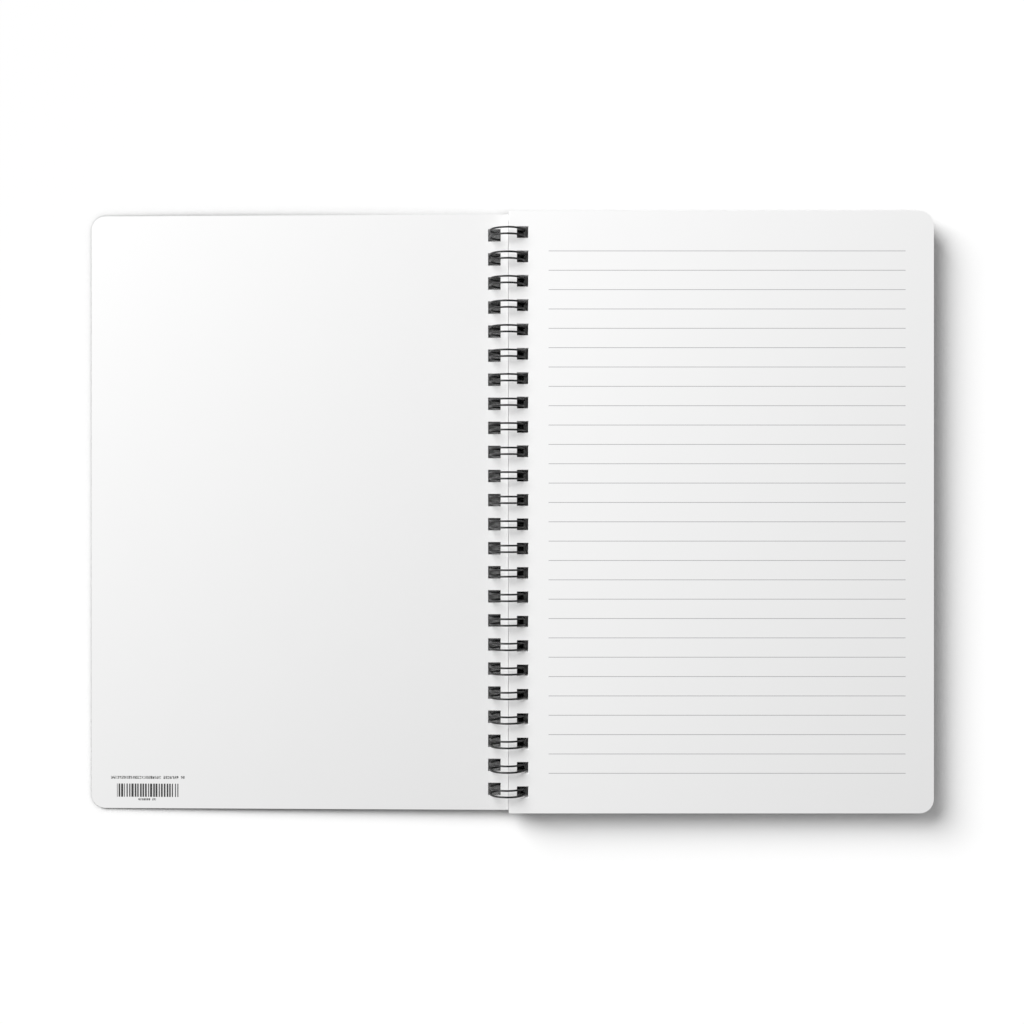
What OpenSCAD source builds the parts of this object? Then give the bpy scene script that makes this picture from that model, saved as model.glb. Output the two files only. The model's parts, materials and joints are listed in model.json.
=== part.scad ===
// Spiral notebook with a twin-loop wire binding, lying open at the first page.
// The front cover is turned over to the left and the stack of pages lies on the back cover.
// Units are millimetres. The spine runs along Y, the fore-edge of the pages points to +X,
// and the table is at z = 0.

/* [Sheets] */
// Width of the pages and covers, from spine edge to fore-edge
sheet_w = 148; // [120:1:200]
// Height of the pages and covers, along the spine
sheet_h = 210; // [140:1:297]
// Thickness of the stack of pages at the spine
stack_t = 6.8; // [4:0.05:7.5]
// Thickness of each cover
board_t = 0.3; // [0.2:0.05:0.5]
// Radius of the rounded corners at the fore-edge
corner_r = 5; // [2:0.5:12]

/* [Punched holes] */
// Side of the square holes in the pages
page_hole = 4.1; // [3.6:0.1:4.2]
// Side of the square holes in the covers
cover_hole = 4.4; // [4:0.1:4.6]
// Strip between the spine edge of the pages and their holes
page_margin = 2.7; // [2.4:0.1:3.2]
// Strip between the spine edge of the covers and their holes
cover_margin = 2.7; // [2.4:0.1:3]

/* [Wire binding] */
// Outer diameter of the closed loops
ring_d = 12.7; // [12.4:0.1:14]
// Diameter of the wire
wire_d = 0.65; // [0.45:0.05:0.7]
// Distance from one loop to the next, about three loops to the inch
loop_pitch = 8.49; // [8:0.01:9.5]
// Distance between the two legs of a loop
leg_gap = 2.25; // [2:0.05:2.5]
// Bend radius between a leg and the straight link to the next loop
link_bend = 0.8; // [0.6:0.1:1]
// Length of the cut end of the wire past its last bend
end_stub = 1.2; // [0.5:0.1:2]
// Opening left between the tips of the loops and the links
seam_gap = 0.35; // [0.25:0.05:0.6]

/* [Fit] */
// Clearance between the wire and the edges and faces beside it
wire_clear = 0.15; // [0.12:0.01:0.2]
// Clearance between the pages and the closed front cover
leaf_clear = 0.15; // [0.1:0.01:0.3]
// Clearance between the pages and the back cover where they rest at the fore-edge
rest_clear = 0.1; // [0.05:0.01:0.2]
// How far the pages hang out from the middle of their holes, away from the spine
page_pull = 0.2; // [0:0.05:0.4]
// How far the front cover hangs in from the middle of its holes, towards the spine
cover_pull = 0.55; // [0:0.05:0.9]

/* [Hidden] */

curve_fn = 96;
wire_fn = 32;

// The loops: radii from their common axis, which runs along Y
ring_r = ring_d / 2;
ring_in = ring_r - wire_d;
wire_r = ring_r - wire_d / 2;
loop_n = floor(sheet_h / loop_pitch);

// Heights from the loops' axis, each in the piece's own frame with the notebook closed.
// The strip outside the back cover's holes lies in the bottom of the loops.
back_low = sqrt(pow(ring_in - wire_clear, 2) - pow(cover_margin / 2, 2));
back_top = back_low - board_t;
page_low = back_top - wire_d - 2 * wire_clear;
page_top = stack_t - page_low;
front_in = page_top + leaf_clear;
front_out = front_in + board_t;

// Distances from the loops' axis along a sheet, from where the wire runs through it
function cross_x(radius, height) = sqrt(pow(radius, 2) - pow(height, 2));
page_hole_x = (cross_x(ring_in, page_low) + ring_r) / 2 + page_pull;
page_edge_x = page_hole_x - page_hole / 2 - page_margin;
front_hole_x = (cross_x(ring_in, front_out) + cross_x(ring_r, front_in)) / 2 - cover_pull;
front_edge_x = front_hole_x - cover_hole / 2 - cover_margin;
back_edge_x = -cover_margin / 2;
back_hole_x = back_edge_x + cover_margin + cover_hole / 2;

// Slopes at rest: the front cover and the back cover slope down to the table at their
// outer edges, and the underside of the pages slopes down to the back cover
function reach_turn(x, height, drop) = asin(drop / norm([x, height])) - atan(height / x);
front_far = front_edge_x + sheet_w;
back_far = back_edge_x + sheet_w;
page_far = page_edge_x + sheet_w;
front_slope = reach_turn(front_far, front_out, ring_r);
back_slope = reach_turn(back_far, back_low, ring_r);
page_slope = back_slope - reach_turn(back_far, back_top, page_low + rest_clear);

// The loose sheets stand a little apart towards the fore-edge, so that the top page is level.
// This is the height of the fore-edge's top corner, in the stack's own frame
page_lift = (page_top + page_far * sin(page_slope)) / cos(page_slope);

// The loops' axis stands over the table so that the middle of the whole notebook is at x = 0
left_reach = front_far * cos(front_slope) - front_in * sin(front_slope);
right_reach = page_far * cos(page_slope) + page_lift * sin(page_slope);
ring_x = (left_reach - right_reach) / 2;
ring_z = ring_r;

// How far the block that levels the top of the stack reaches past it
trim = 1;

// The tips and bends are a hair thinner than the legs and links, and both their ends
// reach a little way into them
bend_ease = 0.01;
bend_sink = 0.05;
bend_d = wire_d - bend_ease;

// The seam of the loops: the links lie midway between the last page and the back cover,
// and the tips stop short of the links
tip_r = leg_gap / 2;
link_drop = page_low + wire_clear + wire_d / 2;
foot_drop = link_bend - bend_sink;
foot_turn = atan(foot_drop / wire_r);
seam_turn = asin(link_drop / norm([wire_r, foot_drop])) - foot_turn;
leg_sweep = 360 - foot_turn - atan(tip_r / wire_r) - (seam_gap + wire_d) / wire_r * 180 / PI;

// Place of a loop's middle along the spine
function loop_y(i) = (i - (loop_n - 1) / 2) * loop_pitch;

// Outline of a leaf: square corners at the spine, rounded corners at the fore-edge
module leaf_outline(edge_x) {
    translate([edge_x, -sheet_h / 2]) square([sheet_w - corner_r, sheet_h]);
    translate([edge_x, corner_r - sheet_h / 2]) square([sheet_w, sheet_h - 2 * corner_r]);
    for (side = [-1, 1])
        translate([edge_x + sheet_w - corner_r, side * (sheet_h / 2 - corner_r)])
            circle(corner_r, $fn = curve_fn);
}

// A punched leaf of any thickness, from its lower face up
module leaf(edge_x, hole_x, hole, thickness) {
    linear_extrude(thickness)
        difference() {
            leaf_outline(edge_x);
            for (i = [0 : loop_n - 1])
                translate([hole_x, loop_y(i)]) square(hole, center = true);
        }
}

// Turns a piece round the loops' axis and puts it in its place over the table
module on_ring(turn) {
    translate([ring_x, 0, ring_z]) rotate([0, turn, 0]) children();
}

// Front cover, turned over to the left, with its outer edge down on the table
module front_cover() {
    color("white")
        on_ring(-180 - front_slope)
            translate([0, 0, front_in])
                leaf(front_edge_x, front_hole_x, cover_hole, board_t);
}

// Back cover, under the pages
module back_cover() {
    color("white")
        on_ring(back_slope)
            translate([0, 0, -back_low])
                leaf(back_edge_x, back_hole_x, cover_hole, board_t);
}

// The whole stack of pages, which fans out from the spine to a level top
module page_block() {
    fore_t = page_low + page_lift;
    color("whitesmoke")
        difference() {
            on_ring(page_slope)
                translate([0, 0, -page_low])
                    leaf(page_edge_x, page_hole_x, page_hole, fore_t + trim);
            translate([ring_x + page_edge_x - trim, -sheet_h / 2 - trim, ring_z + page_top])
                cube([sheet_w + 2 * trim, sheet_h + 2 * trim, fore_t]);
        }
}

// A curved run of wire in the XY plane, round the origin
module wire_arc(bend, from, sweep, thickness) {
    rotate_extrude(angle = sweep, start = from, $fn = curve_fn)
        translate([bend, 0]) circle(d = thickness, $fn = wire_fn);
}

// A straight run of wire along +Y
module wire_run(length) {
    rotate([-90, 0, 0]) cylinder(d = wire_d, h = length, $fn = wire_fn);
}

// A leg of a loop, from its bend at the bottom round to the tip
module leg() {
    rotate([90, 0, 0]) wire_arc(wire_r, 0, leg_sweep, wire_d);
}

// The hairpin at the end of a loop, which joins its two legs
module loop_tip() {
    rotate([0, -leg_sweep, 0])
        translate([wire_r, 0, -bend_sink])
            rotate([0, 90, 0]) wire_arc(tip_r, 90, 180, bend_d);
}

// The bend from a leg into the link on one side of it, side 1 towards +Y and -1 towards -Y
module link_corner(side) {
    translate([wire_r, side * (tip_r + link_bend), bend_sink])
        rotate([0, 90, 0]) wire_arc(link_bend, side > 0 ? -90 : 0, 90, bend_d);
}

// One loop: two legs side by side, the tip that joins them and the bends at their feet
module loop() {
    for (side = [-1, 1]) {
        translate([0, side * tip_r, 0]) leg();
        link_corner(side);
    }
    loop_tip();
}

// The binding: one wire that runs through every loop, built with its legs' feet at the
// height of the axis and then turned until the seam lies under the last page
module wire_binding() {
    link_start = tip_r + foot_drop;
    link_len = loop_pitch - 2 * link_start;
    color([0.09, 0.09, 0.1])
        on_ring(seam_turn) {
            for (i = [0 : loop_n - 1]) translate([0, loop_y(i), 0]) loop();
            for (i = [0 : loop_n - 2])
                translate([wire_r, loop_y(i) + link_start, -foot_drop]) wire_run(link_len);
            translate([wire_r, loop_y(0) - link_start - end_stub, -foot_drop]) wire_run(end_stub);
            translate([wire_r, loop_y(loop_n - 1) + link_start, -foot_drop]) wire_run(end_stub);
        }
}

front_cover();
back_cover();
page_block();
wire_binding();
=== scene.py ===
import json
import math

import bpy
import numpy as np
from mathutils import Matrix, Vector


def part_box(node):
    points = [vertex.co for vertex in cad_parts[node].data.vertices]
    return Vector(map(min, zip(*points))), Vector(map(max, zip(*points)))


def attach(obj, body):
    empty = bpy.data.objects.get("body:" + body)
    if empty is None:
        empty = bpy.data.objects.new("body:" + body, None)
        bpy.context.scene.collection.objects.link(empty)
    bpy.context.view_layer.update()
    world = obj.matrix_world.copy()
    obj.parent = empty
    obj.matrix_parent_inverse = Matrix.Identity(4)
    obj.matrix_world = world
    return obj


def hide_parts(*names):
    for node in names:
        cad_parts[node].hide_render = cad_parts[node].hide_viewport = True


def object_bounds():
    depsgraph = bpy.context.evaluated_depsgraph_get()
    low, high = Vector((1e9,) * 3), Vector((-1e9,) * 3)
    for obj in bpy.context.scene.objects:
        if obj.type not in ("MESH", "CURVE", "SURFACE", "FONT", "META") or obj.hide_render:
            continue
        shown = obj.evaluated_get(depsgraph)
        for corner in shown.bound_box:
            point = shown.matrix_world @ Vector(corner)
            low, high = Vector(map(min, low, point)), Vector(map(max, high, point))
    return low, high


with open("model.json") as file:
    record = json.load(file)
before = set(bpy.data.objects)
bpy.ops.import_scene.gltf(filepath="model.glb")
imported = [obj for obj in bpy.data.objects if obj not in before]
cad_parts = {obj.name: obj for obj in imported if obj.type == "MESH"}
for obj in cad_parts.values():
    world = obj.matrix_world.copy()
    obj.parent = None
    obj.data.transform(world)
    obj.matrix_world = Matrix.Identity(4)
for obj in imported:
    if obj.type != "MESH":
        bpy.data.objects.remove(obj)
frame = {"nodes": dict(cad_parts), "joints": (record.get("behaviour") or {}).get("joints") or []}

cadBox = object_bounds()
mm = 0.001
print("frame loaded, the box is", [[round(v, 4) for v in corner] for corner in cadBox])

hinge = next(j for j in frame["joints"] if j["name"] == "front_cover_turn")
ringX, _, ringZ = hinge["pos_m"]  # the loops' common axis runs along Y through this point


# Mesh helpers

# Makes a mesh object from an array of points and a list of faces
def makeObject(name, points, faces, smooth):
    mesh = bpy.data.meshes.new(name)
    mesh.from_pydata(points.reshape(-1, 3).tolist(), [], faces)
    mesh.polygons.foreach_set("use_smooth", np.full(len(mesh.polygons), smooth))
    mesh.update()
    made = bpy.data.objects.new(name, mesh)
    bpy.context.scene.collection.objects.link(made)
    return made


# Quads of a grid of rows x columns; wrap joins the last column to the first one
def gridQuads(rows, columns, wrap=False):
    r = np.arange(rows - 1)[:, None]
    c = np.arange(columns if wrap else columns - 1)[None, :]
    d = (c + 1) % columns
    corners = (r * columns + c, r * columns + d, (r + 1) * columns + d, (r + 1) * columns + c)
    return np.stack([np.broadcast_to(k, (rows - 1, c.size)) for k in corners], axis=-1)


# Turns points about the loops' axis by an angle, positive from +X down to -Z, and puts them there
def aboutRing(points, turn):
    x, y, z = points[..., 0], points[..., 1], points[..., 2]
    c, s = math.cos(turn), math.sin(turn)
    return np.stack([ringX + x * c + z * s, y, ringZ + z * c - x * s], axis=-1)


bindingSettings = dict(pitch=8.49 * mm, loops=24)


# Middles of the loops along the spine: (i - (n - 1) / 2) times the pitch for loop i of n
def loopMiddles(settings):
    return (np.arange(settings["loops"]) - (settings["loops"] - 1) / 2) * settings["pitch"]


# Material helpers

# Writes the node tree of a material or of the world
class Nodes:
    def __init__(self, owner, output="OutputMaterial"):
        owner.use_nodes = True
        self.owner = owner
        self.tree = owner.node_tree
        self.tree.nodes.clear()
        self.output = self.add(output)

    def add(self, kind, **settings):
        node = self.tree.nodes.new("ShaderNode" + kind)
        for key, value in settings.items():
            if hasattr(node, key):
                setattr(node, key, value)
            else:
                node.inputs[key.replace("_", " ")].default_value = value
        return node

    def join(self, source, target):
        self.tree.links.new(source, target)

    # Ends the tree in a shader
    def finish(self, shader):
        self.join(shader.outputs[0], self.output.inputs["Surface"])
        return self.owner

    # A Math node on sockets or numbers
    def math(self, operation, *values):
        node = self.add("Math", operation=operation)
        for slot, value in zip(node.inputs, values):
            if isinstance(value, (int, float)):
                slot.default_value = value
            else:
                self.join(value, slot)
        return node.outputs[0]

    # A noise, given as its scale per metre, detail and roughness
    def noise(self, place, scale, detail, roughness=0.5):
        node = self.add("TexNoise", Scale=scale, Detail=detail, Roughness=roughness)
        self.join(place, node.inputs["Vector"])
        return node.outputs[0]

    # Mixes two colours, or a socket and a colour, by a factor socket
    def mix(self, factor, first, second):
        node = self.add("Mix", data_type="RGBA")
        self.join(factor, node.inputs[0])
        for slot, value in ((node.inputs[6], first), (node.inputs[7], second)):
            if isinstance(value, tuple):
                slot.default_value = (*value, 1)
            else:
                self.join(value, slot)
        return node.outputs[2]

    def bump(self, height, strength, depth):
        node = self.add("Bump", Strength=strength, Distance=depth)
        self.join(height, node.inputs["Height"])
        return node.outputs[0]

    # Maps a 0 to 1 value onto middle - reach to middle + reach
    def around(self, value, middle, reach):
        return self.math("MULTIPLY_ADD", value, 2 * reach, middle - reach)

    # A colour that goes from one darker by a share to the colour itself with a 0 to 1 value
    def mottle(self, value, color, share):
        return self.mix(value, tuple(c * (1 - share) for c in color), color)


# Paper of the pages: uncoated, with fine fibres and the ruled lines on both faces of a sheet
paperSettings = dict(
    color=(0.947, 0.947, 0.947),
    mottle=0.012,          # how much darker its cloudiest spots are
    cloud=(90.0, 4.0), fibre=(2600.0, 3.0, 0.6),
    roughness=0.82, roughnessReach=0.07, specular=0.25,
    bump=0.25, bumpDepth=0.03 * mm,
    lineColor=(0.45, 0.45, 0.46),
    lineWidth=0.23 * mm,
    lineSpacing=6.743 * mm,
    lineCount=28,
    lineStart=13.7 * mm,   # from the spine edge of the page
    lineEnd=9.87 * mm,     # from the fore-edge
)


# A line runs where the distance from the middle of its row of the ruling is under half a line's
# width, inside the ruled field
def paperMaterial(settings, spineEdge, foreEdge):
    n = Nodes(bpy.data.materials.new("page_paper"))
    place = n.add("TexCoord").outputs["Object"]
    axes = n.add("SeparateXYZ")
    n.join(place, axes.inputs[0])
    spacing = settings["lineSpacing"]
    row = n.math("FRACT", n.math("DIVIDE", axes.outputs["Y"], spacing))
    offLine = n.math("ABSOLUTE", n.math("SUBTRACT", row, 0.5))
    onLine = n.math("LESS_THAN", offLine, settings["lineWidth"] / (2 * spacing))
    inRows = n.math("COMPARE", axes.outputs["Y"], 0.0, settings["lineCount"] / 2 * spacing)
    start, end = spineEdge + settings["lineStart"], foreEdge - settings["lineEnd"]
    inLength = n.math("COMPARE", axes.outputs["X"], (start + end) / 2, (end - start) / 2)
    ink = n.math("MULTIPLY", n.math("MULTIPLY", onLine, inRows), inLength)

    cloud = n.noise(place, *settings["cloud"])
    fibre = n.noise(place, *settings["fibre"])
    paper = n.mottle(cloud, settings["color"], settings["mottle"])
    shader = n.add("BsdfPrincipled")
    shader.inputs["Specular IOR Level"].default_value = settings["specular"]
    n.join(n.mix(ink, paper, settings["lineColor"]), shader.inputs["Base Color"])
    n.join(n.around(fibre, settings["roughness"], settings["roughnessReach"]), shader.inputs["Roughness"])
    n.join(n.bump(fibre, settings["bump"], settings["bumpDepth"]), shader.inputs["Normal"])
    return n.finish(shader)


# Board of the covers: smooth white, with little gloss. Low on the inside of the front cover
# stand a field of plain bars and two rows of small marks
boardSettings = dict(
    color=(0.836, 0.836, 0.836),
    mottle=0.01,
    cloud=(60.0, 3.0), grain=(1500.0, 3.0, 0.55),
    roughness=0.55, roughnessReach=0.05, specular=0.12,
    bump=0.12, bumpDepth=0.02 * mm,
)
barSettings = dict(
    fromEdge=9.1 * mm, width=21.9 * mm, fromFoot=4.0 * mm, height=4.7 * mm,
    pitch=0.95 * mm,         # from one bar to the next
    thin=0.32, thick=0.88,   # shares of the pitch that the bars fill
    wander=0.2, seed=0.37, ink=0.06,
)
# A mark fills a share of its width, and some marks are left blank. The cells of a mark's dots
# are numbered row after row, this many to a row
markShape = dict(filled=0.8, blank=0.12, dotsPerRow=137.0)
markSettings = (
    dict(fromEdge=6.8 * mm, width=26.4 * mm, fromFoot=10.4 * mm, height=1.0 * mm,
         cell=0.2 * mm, markWidth=0.78 * mm, share=0.72, seed=7.19, ink=0.12),
    dict(fromEdge=16.6 * mm, width=6.4 * mm, fromFoot=2.75 * mm, height=0.75 * mm,
         cell=0.15 * mm, markWidth=0.62 * mm, share=0.85, seed=3.53, ink=0.12),
)


# Random 0 to 1 values for a whole number, one per cell, as three sockets
def cellRandom(n, cell, seed):
    random = n.add("TexWhiteNoise", noise_dimensions="1D")
    n.join(n.math("ADD", cell, seed), random.inputs["W"])
    split = n.add("SeparateXYZ")
    n.join(random.outputs["Color"], split.inputs[0])
    return split.outputs


# Bars: in each cell of the pitch one bar of its own width, a little off the cell's middle
def printedBars(n, axes, row):
    step = n.math("DIVIDE", axes["X"], row["pitch"])
    random = cellRandom(n, n.math("FLOOR", step), row["seed"])
    middle = n.math("MULTIPLY_ADD", random["Y"], row["wander"], 0.5 - row["wander"] / 2)
    off = n.math("ABSOLUTE", n.math("SUBTRACT", n.math("FRACT", step), middle))
    half = n.math("MULTIPLY_ADD", random["X"], (row["thick"] - row["thin"]) / 2, row["thin"] / 2)
    return n.math("LESS_THAN", off, half)


# Marks: a fine grid of dots, some of them inked, with a gap at the end of each mark
def printedMarks(n, axes, row):
    step = n.math("DIVIDE", axes["X"], row["markWidth"])
    chance = cellRandom(n, n.math("FLOOR", step), row["seed"])["X"]
    printed = n.math("GREATER_THAN", chance, markShape["blank"])
    inMark = n.math("LESS_THAN", n.math("FRACT", step), markShape["filled"])
    column = n.math("FLOOR", n.math("DIVIDE", axes["X"], row["cell"]))
    line = n.math("FLOOR", n.math("DIVIDE", axes["Y"], row["cell"]))
    cell = n.math("MULTIPLY_ADD", line, markShape["dotsPerRow"], column)
    dot = cellRandom(n, cell, row["seed"])["X"]
    inked = n.math("LESS_THAN", dot, row["share"])
    return n.math("MULTIPLY", n.math("MULTIPLY", printed, inMark), inked)


# The print stands on the upward face, at its places from the corner that is given
def boardMaterial(name, settings, corner=None):
    n = Nodes(bpy.data.materials.new(name))
    texture = n.add("TexCoord")
    place = texture.outputs["Object"]
    cloud = n.noise(place, *settings["cloud"])
    grain = n.noise(place, *settings["grain"])
    color = n.mottle(cloud, settings["color"], settings["mottle"])
    if corner:
        axes, facing = n.add("SeparateXYZ"), n.add("SeparateXYZ")
        n.join(place, axes.inputs[0])
        n.join(texture.outputs["Normal"], facing.inputs[0])
        inside = n.math("GREATER_THAN", facing.outputs["Z"], 0.5)
        for ink, row in ((printedBars, barSettings), *((printedMarks, row) for row in markSettings)):
            halfW, halfH = row["width"] / 2, row["height"] / 2
            across = n.math("COMPARE", axes.outputs["X"], corner[0] + row["fromEdge"] + halfW, halfW)
            along = n.math("COMPARE", axes.outputs["Y"], corner[1] + row["fromFoot"] + halfH, halfH)
            field = n.math("MULTIPLY", n.math("MULTIPLY", across, along), inside)
            share = n.math("MULTIPLY", field, ink(n, axes.outputs, row))
            color = n.mix(share, color, (row["ink"],) * 3)
    shader = n.add("BsdfPrincipled")
    shader.inputs["Specular IOR Level"].default_value = settings["specular"]
    n.join(color, shader.inputs["Base Color"])
    n.join(n.around(cloud, settings["roughness"], settings["roughnessReach"]), shader.inputs["Roughness"])
    n.join(n.bump(grain, settings["bump"], settings["bumpDepth"]), shader.inputs["Normal"])
    return n.finish(shader)


# Black coated wire
wireFinish = dict(
    color=(0.009, 0.009, 0.0095),
    scuffed=2.2,  # how many times lighter the scuffed spots are
    scuff=(700.0, 4.0, 0.6), peel=(2400.0, 2.0),
    roughness=0.32, roughnessReach=0.1, specular=0.45,
    bump=0.15, bumpDepth=0.02 * mm,
)


def wireMaterial(settings):
    n = Nodes(bpy.data.materials.new("black_wire"))
    place = n.add("TexCoord").outputs["Object"]
    scuff = n.noise(place, *settings["scuff"])
    peel = n.noise(place, *settings["peel"])
    shader = n.add("BsdfPrincipled")
    shader.inputs["Specular IOR Level"].default_value = settings["specular"]
    lighter = tuple(c * settings["scuffed"] for c in settings["color"])
    n.join(n.mix(scuff, settings["color"], lighter), shader.inputs["Base Color"])
    n.join(n.around(scuff, settings["roughness"], settings["roughnessReach"]), shader.inputs["Roughness"])
    n.join(n.bump(peel, settings["bump"], settings["bumpDepth"]), shader.inputs["Normal"])
    return n.finish(shader)


# Page stack: the loose sheets that stand for the block

pageSettings = dict(
    width=148 * mm, height=210 * mm, stack=6.8 * mm, sheets=60,
    spineEdge=0.5875 * mm,  # from the loops' axis to the spine edge, along a sheet
    under=4.1333 * mm,      # height of the underside under the loops' axis
    cornerRadius=5 * mm, cornerSteps=7,
    hole=4.1 * mm, margin=2.7 * mm,
    inner=12 * mm, innerSteps=3,  # the grid's rows between the holes and the corners
    fill=0.86,        # share of each sheet's room that is paper, the rest is air
    slip=0.12 * mm,   # most that a sheet lies back from the block's faces
    sag=0.5,          # most that it lies down from its place, as a share of the air in its room
    seed=11,
)


# Slope of the stack's underside and height of its level top over the loops' axis. With the
# lowest edge f out from the axis and u under it along the slope, and h under it in all:
# slope = asin(h / sqrt(f^2 + u^2)) - atan(u / f)
def blockPlace(settings):
    low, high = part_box("page_block")
    far, under = settings["spineEdge"] + settings["width"], settings["under"]
    slope = math.asin((ringZ - low[2]) / math.hypot(far, under)) - math.atan2(under, far)
    return slope, high[2] - ringZ


# Grid of one sheet: x(u) runs from the spine edge to the fore-edge and y(u, v) along the spine.
# The end rows follow y = h/2 - r + sqrt(r^2 - (x - xc)^2) past the corner's centre xc
def sheetGrid(settings):
    spine, radius, half = settings["spineEdge"], settings["cornerRadius"], settings["height"] / 2
    holeNear = spine + settings["margin"]
    centre = spine + settings["width"] - radius
    arc = np.linspace(0, math.pi / 2, settings["cornerSteps"] + 1)
    inner = settings["inner"]
    xs = np.concatenate([[spine, holeNear, holeNear + settings["hole"]],
                         np.linspace(holeNear + inner, centre - inner, settings["innerSteps"]),
                         centre + radius * np.sin(arc)])
    middles = loopMiddles(bindingSettings)
    edges = (middles[:, None] + np.array([-0.5, 0.5]) * settings["hole"]).ravel()
    ys = np.concatenate([[-half], edges, [half]])
    ends = half - radius + np.sqrt(np.clip(radius ** 2 - np.clip(xs - centre, 0, None) ** 2, 0, None))
    y = np.tile(ys, (xs.size, 1))
    y[:, 0], y[:, -1] = -ends, ends
    return np.tile(xs[:, None], (1, ys.size)), y


# Sheets first to last as one surface each, without the cells that lie in a punched hole.
# Sheet k of n lies k/n of the way up from the sloping underside to the level top,
# (top + x sin s) / cos s, and a little back and down from there
def sheetMesh(name, settings, first, last):
    slope, level = blockPlace(settings)
    under, half = settings["under"], settings["height"] / 2
    x, y = sheetGrid(settings)
    room = settings["stack"] / settings["sheets"]
    random = np.random.default_rng(settings["seed"])
    slips = random.uniform(-1, 0, (settings["sheets"], 2)) * settings["slip"]
    lifts = random.uniform(-settings["sag"], 0, settings["sheets"]) * room * (1 - settings["fill"])
    slips[-1] = 0
    order = np.arange(first, last + 1)
    thickness = (level + x * math.sin(slope)) / math.cos(slope) + under
    rise = ((order + 1) / settings["sheets"])[:, None, None] * thickness - under
    shape = (order.size, *x.shape)
    points = np.stack([np.broadcast_to(x, shape) + slips[order, 0, None, None],
                       np.broadcast_to(y, shape) * (1 + slips[order, 1, None, None] / half),
                       rise + lifts[order, None, None]], axis=-1)
    points = aboutRing(points, slope)

    quads = gridQuads(*x.shape)
    column = np.arange(x.shape[0] - 1)[:, None]
    row = np.arange(x.shape[1] - 1)[None, :]
    punched = (column == 1) & (row % 2 == 1)
    quads = quads[~punched].reshape(-1, 4)
    base = (np.arange(order.size) * x.size)[:, None, None]
    made = makeObject(name, points, (quads[None] + base).reshape(-1, 4).tolist(), False)
    solid = made.modifiers.new("sheet_thickness", "SOLIDIFY")
    solid.thickness = room * settings["fill"]
    solid.offset = -1
    return made


# Wire: one tube through every loop

wireSettings = dict(
    thickness=0.65 * mm, legGap=2.25 * mm,
    linkBend=0.8 * mm, bendSink=0.05 * mm, endStub=1.2 * mm,
    linkDrop=4.6083 * mm,  # height of the links under the loops' axis
    seamGap=0.35 * mm,     # opening between the tips and the links
    legSteps=72, tipSteps=14, bendSteps=7, sides=14,
)


# Path of one loop, as rows of place, forward direction and outward direction. With R the
# ring's radius to the wire's middle, a half the gap of the legs, b the bend's radius and k
# how far a bend reaches into a leg: a foot's bend is (R, -a - b + b sin t, k - b cos t), a leg
# is (R cos t, -a, R sin t), and the tip is R out + a (sin t along - cos t across), in the
# plane that touches the ring there
def loopPath(settings, ring, sweep):
    a, b, k = settings["legGap"] / 2, settings["linkBend"], settings["bendSink"]

    def rows(*parts):
        return np.stack(np.broadcast_arrays(*parts), axis=-1)

    t = np.linspace(0, math.pi / 2, settings["bendSteps"], endpoint=False)
    foot = (rows(ring, -a - b + b * np.sin(t), k - b * np.cos(t)),
            rows(0 * t, np.cos(t), np.sin(t)),
            rows(1 + 0 * t, 0, 0))
    t = np.linspace(k / ring, sweep - k / ring, settings["legSteps"])
    leg = (rows(ring * np.cos(t), -a, ring * np.sin(t)),
           rows(-np.sin(t), 0, np.cos(t)),
           rows(np.cos(t), 0, np.sin(t)))
    out = np.array([math.cos(sweep), 0, math.sin(sweep)])
    along = np.array([-math.sin(sweep), 0, math.cos(sweep)])
    across = np.array([0, 1, 0])
    t = np.linspace(0, math.pi, settings["tipSteps"] + 1)[1:-1, None]
    tip = (ring * out + (a * np.sin(t) - k) * along - a * np.cos(t) * across,
           np.cos(t) * along + np.sin(t) * across,
           out + 0 * t)

    # The second half is the first one the other way round, with Y mirrored
    turned = []
    for part, flip in zip(zip(foot, leg), ([1, -1, 1], [-1, 1, -1], [1, -1, 1])):
        turned.append(np.concatenate(part)[::-1] * np.array(flip))
    return [np.concatenate([f, m, s, t]) for f, m, s, t in zip(foot, leg, tip, turned)]


# Path of the whole wire, as rows of place, forward and outward direction, and the turn that
# brings its seam under the last page. The feet's bends stand at the height of the axis
def wirePath(settings, ring):
    footDrop = settings["linkBend"] - settings["bendSink"]
    footTurn = math.atan(footDrop / ring)
    seamTurn = math.asin(settings["linkDrop"] / math.hypot(ring, footDrop)) - footTurn
    tipTurn = math.atan(settings["legGap"] / 2 / ring)
    sweep = 2 * math.pi - footTurn - tipTurn - (settings["seamGap"] + settings["thickness"]) / ring
    path, forward, outward = loopPath(settings, ring, sweep)
    middles = loopMiddles(bindingSettings)
    shift = np.stack([0 * middles, middles, 0 * middles], axis=-1)[:, None, :]
    path = (path[None] + shift).reshape(-1, 3)
    forward, outward = (np.tile(rows, (middles.size, 1)) for rows in (forward, outward))
    stub = np.array([0, settings["endStub"], 0])
    path = np.concatenate([path[:1] - stub, path, path[-1:] + stub])
    forward, outward = (np.concatenate([rows[:1], rows, rows[-1:]]) for rows in (forward, outward))
    return path, forward, outward, seamTurn


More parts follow.
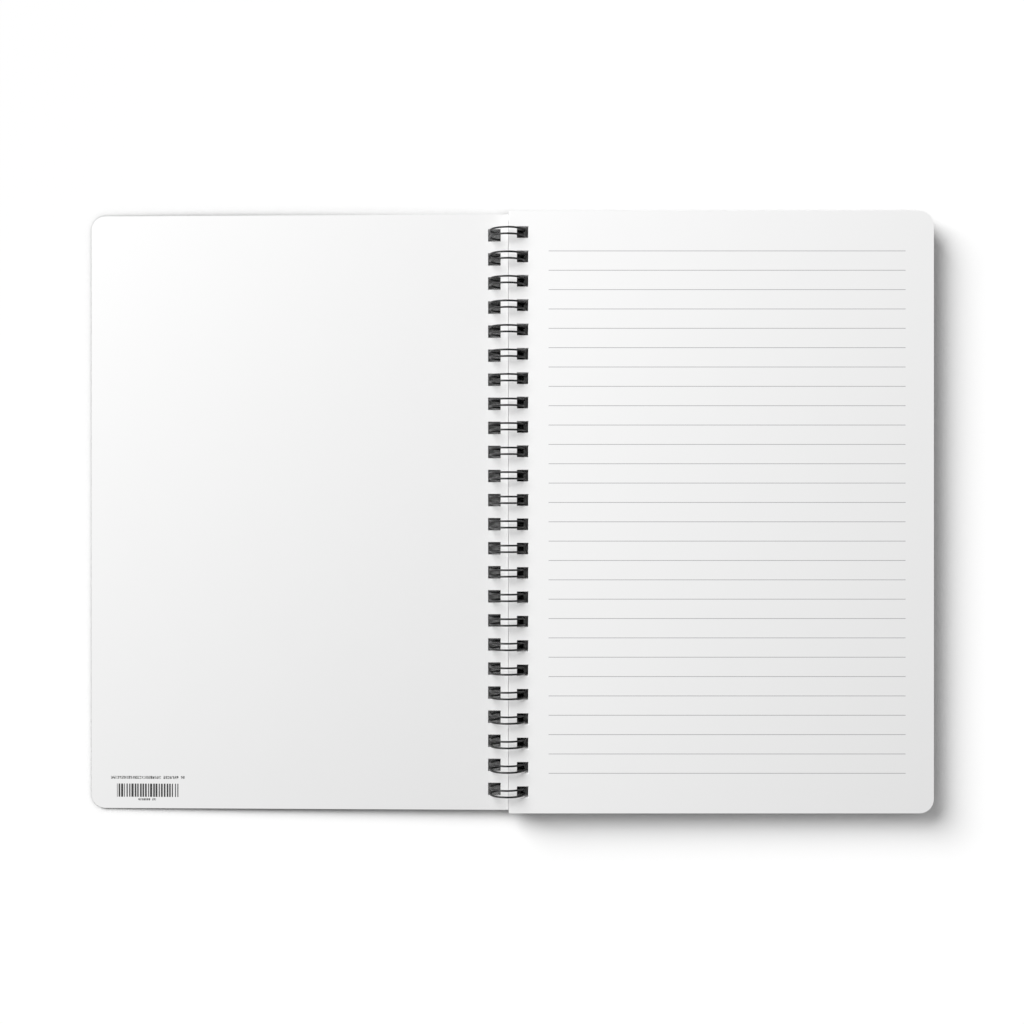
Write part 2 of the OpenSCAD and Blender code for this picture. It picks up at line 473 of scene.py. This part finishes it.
# Tube along the path: p(s, t) = path(s) + r (cos t outward(s) + sin t forward(s) x outward(s)),
# with a flat end cap at both cut ends
def wireMesh(name, settings):
    path, forward, outward, seamTurn = wirePath(settings, ringZ - settings["thickness"] / 2)
    t = np.arange(settings["sides"]) * 2 * math.pi / settings["sides"]
    side = np.cross(forward, outward)
    around = np.cos(t)[:, None] * outward[:, None, :] + np.sin(t)[:, None] * side[:, None, :]
    points = aboutRing(path[:, None, :] + settings["thickness"] / 2 * around, seamTurn)
    count = settings["sides"]
    faces = gridQuads(len(path), count, wrap=True).reshape(-1, 4).tolist()
    faces.append(list(range(count - 1, -1, -1)))
    faces.append(list(range((len(path) - 1) * count, len(path) * count)))
    return makeObject(name, points, faces, True)


# Camera: straight above, at the photograph's distance

cameraSettings = dict(
    x=ringX + 1.6 * mm, y=0.04 * mm, height=478 * mm,
    lens=47.3, sensor=36.0,  # as on the camera, in millimetres
    clipStart=10 * mm,
)
camera = bpy.data.objects.new("camera", bpy.data.cameras.new("camera"))
bpy.context.scene.collection.objects.link(camera)
camera.data.lens = cameraSettings["lens"]
camera.data.sensor_width = cameraSettings["sensor"]
camera.data.clip_start = cameraSettings["clipStart"]
camera.location = (cameraSettings["x"], cameraSettings["y"], cameraSettings["height"])
bpy.context.scene.camera = camera
print("camera placed")

# Pieces

boardLow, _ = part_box("front_cover")
frontBoard = boardMaterial("front_board", boardSettings, tuple(boardLow[:2]))
backBoard = boardMaterial("back_board", boardSettings)
for nodeName, board in (("front_cover", frontBoard), ("back_cover", backBoard)):
    data = frame["nodes"][nodeName].data
    data.materials.clear()
    data.materials.append(board)
print("covers finished")

_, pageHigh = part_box("page_block")
paper = paperMaterial(paperSettings, pageHigh[0] - pageSettings["width"], pageHigh[0])
lastSheet = pageSettings["sheets"] - 1
sheetPieces = (("bottom_sheet", 0, 0), ("sheets", 1, lastSheet - 1), ("top_sheet", lastSheet, lastSheet))
for name, first, last in sheetPieces:
    piece = sheetMesh(name, pageSettings, first, last)
    piece.data.materials.append(paper)
    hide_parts("page_block")
    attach(piece, "pages")
print("sheets made")

wire = wireMesh("twin_loop_wire", wireSettings)
wire.data.materials.append(wireMaterial(wireFinish))
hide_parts("wire_binding")
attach(wire, "binding")
print("wire made")

# Light and floor

# The softbox stands to the upper left, so the shadows fall to the right and towards the foot
lightSettings = dict(
    place=(-0.79, 0.69, 0.85), size=0.96, power=24.6,
    share=0.7233,  # how light the softbox alone makes a white table under the notebook
    sky=0.235,    # and how light the sky makes it
)
floorSettings = dict(
    size=8.0, drop=0.3 * mm,
    color=(0.8, 0.8, 0.8),
    white=1.0,  # tone of the lit table in the picture
    # The soft shade round the notebook: how far it reaches and how strong it is
    shades=((6 * mm, 0.75), (3 * mm, 1.5)), shadeSamples=2,
)

lamp = bpy.data.objects.new("softbox", bpy.data.lights.new("softbox", "AREA"))
bpy.context.scene.collection.objects.link(lamp)
lamp.data.size = lightSettings["size"]
lamp.data.energy = lightSettings["power"]
lamp.location = lightSettings["place"]
lamp.rotation_euler = lamp.location.to_track_quat("Z", "Y").to_euler()


# Level of the softbox's light on the table. With L its place, e its area over pi, D its distance
# from the middle and r that from a point p: share (D^2 + e) (D^2 - p . L) / (r^2 (r^2 + e))
def lampLevel(n, axes, light):
    square = light["place"][2] ** 2
    middle = sum(v * v for v in light["place"])
    facing = middle
    for axis, place in (("X", light["place"][0]), ("Y", light["place"][1])):
        away = n.math("SUBTRACT", axes[axis], place)
        square = n.math("MULTIPLY_ADD", away, away, square)
        facing = n.math("MULTIPLY_ADD", axes[axis], -place, facing)
    area = light["size"] ** 2 / math.pi
    spread = n.math("MULTIPLY", square, n.math("ADD", square, area))
    fall = n.math("DIVIDE", n.math("MAXIMUM", facing, 0.0), spread)
    return n.math("MULTIPLY_ADD", fall, light["share"] * (middle + area), light["sky"])


# Soft shade where something stands close to the table: the open share of the room over a
# point, to a power, for each reach
def nearbyShade(n, settings):
    shade = 1.0
    for reach, power in settings["shades"]:
        openness = n.add("AmbientOcclusion", samples=settings["shadeSamples"], Distance=reach)
        shade = n.math("MULTIPLY", n.math("POWER", openness.outputs["AO"], power), shade)
    return shade


# White table. To the camera its colour makes up for the uneven light on it
def floorMaterial(settings, light):
    n = Nodes(bpy.data.materials.new("floor"))
    path = n.add("LightPath")
    direct = n.math("MAXIMUM", path.outputs["Is Camera Ray"], path.outputs["Is Glossy Ray"])
    seen = n.math("MAXIMUM", direct, path.outputs["Is Transmission Ray"])
    split = n.add("SeparateXYZ")
    n.join(n.add("TexCoord").outputs["Object"], split.inputs[0])
    white = n.math("DIVIDE", settings["white"], lampLevel(n, split.outputs, light))
    white = n.math("MULTIPLY", nearbyShade(n, settings), white)
    shader = n.add("BsdfDiffuse")
    n.join(n.mix(seen, settings["color"], white), shader.inputs["Color"])
    return n.finish(shader)


half = floorSettings["size"] / 2
corners = np.array([[-half, -half, 0], [half, -half, 0], [half, half, 0], [-half, half, 0]])
corners[:, 2] = cadBox[0][2] - floorSettings["drop"]
floor = makeObject("floor", corners, [[0, 1, 2, 3]], False)
floor.data.materials.append(floorMaterial(floorSettings, lightSettings))


# Sky: an even grey light, white where the camera or clear glass looks into it
def skyTree(world, level):
    n = Nodes(world, "OutputWorld")
    path = n.add("LightPath")
    seen = n.math("MAXIMUM", path.outputs["Is Camera Ray"], path.outputs["Is Transmission Ray"])
    sky = n.add("Background", Color=(1, 1, 1, 1))
    n.join(n.math("MULTIPLY_ADD", seen, 1 - level, level), sky.inputs["Strength"])
    return n.finish(sky)


bpy.context.scene.world = skyTree(bpy.data.worlds.new("studio"), lightSettings["sky"])
bpy.context.scene.view_settings.view_transform = "Standard"
print("light set")
